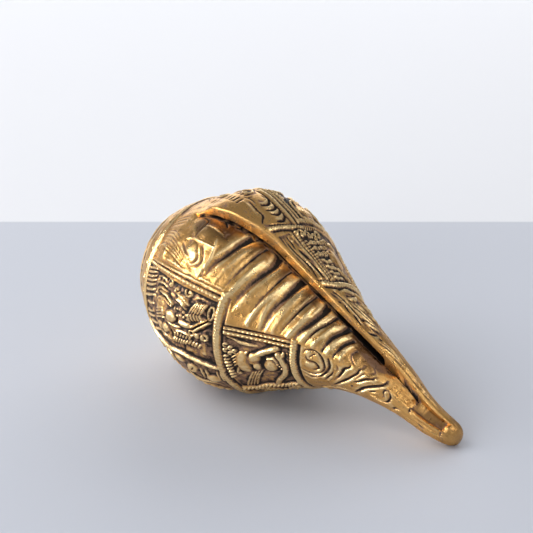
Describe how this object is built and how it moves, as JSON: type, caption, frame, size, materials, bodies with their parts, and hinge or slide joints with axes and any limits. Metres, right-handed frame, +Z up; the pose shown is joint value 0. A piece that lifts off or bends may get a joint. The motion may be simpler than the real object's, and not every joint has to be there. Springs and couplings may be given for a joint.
{
  "type": "ornamental cast brass conch, after a chank shell",
  "caption": "Cast brass conch with a fluted aperture, a free lip, a long beak and relief panels framed by rope borders, lying on its belly.",
  "frame": {"origin": "on the table, under the middle of the shell's box", "axes": "+Z up, +X from the spire to the beak, -Y the side of the aperture"},
  "size_m": [0.165, 0.0897, 0.0875],
  "materials": {
    "aged_brass": "cast brass, rubbed bright on the high points and dark brown in the recesses"
  },
  "bodies": {
    "root": {"conch_casting": "aged_brass"}
  },
  "joints": []
}
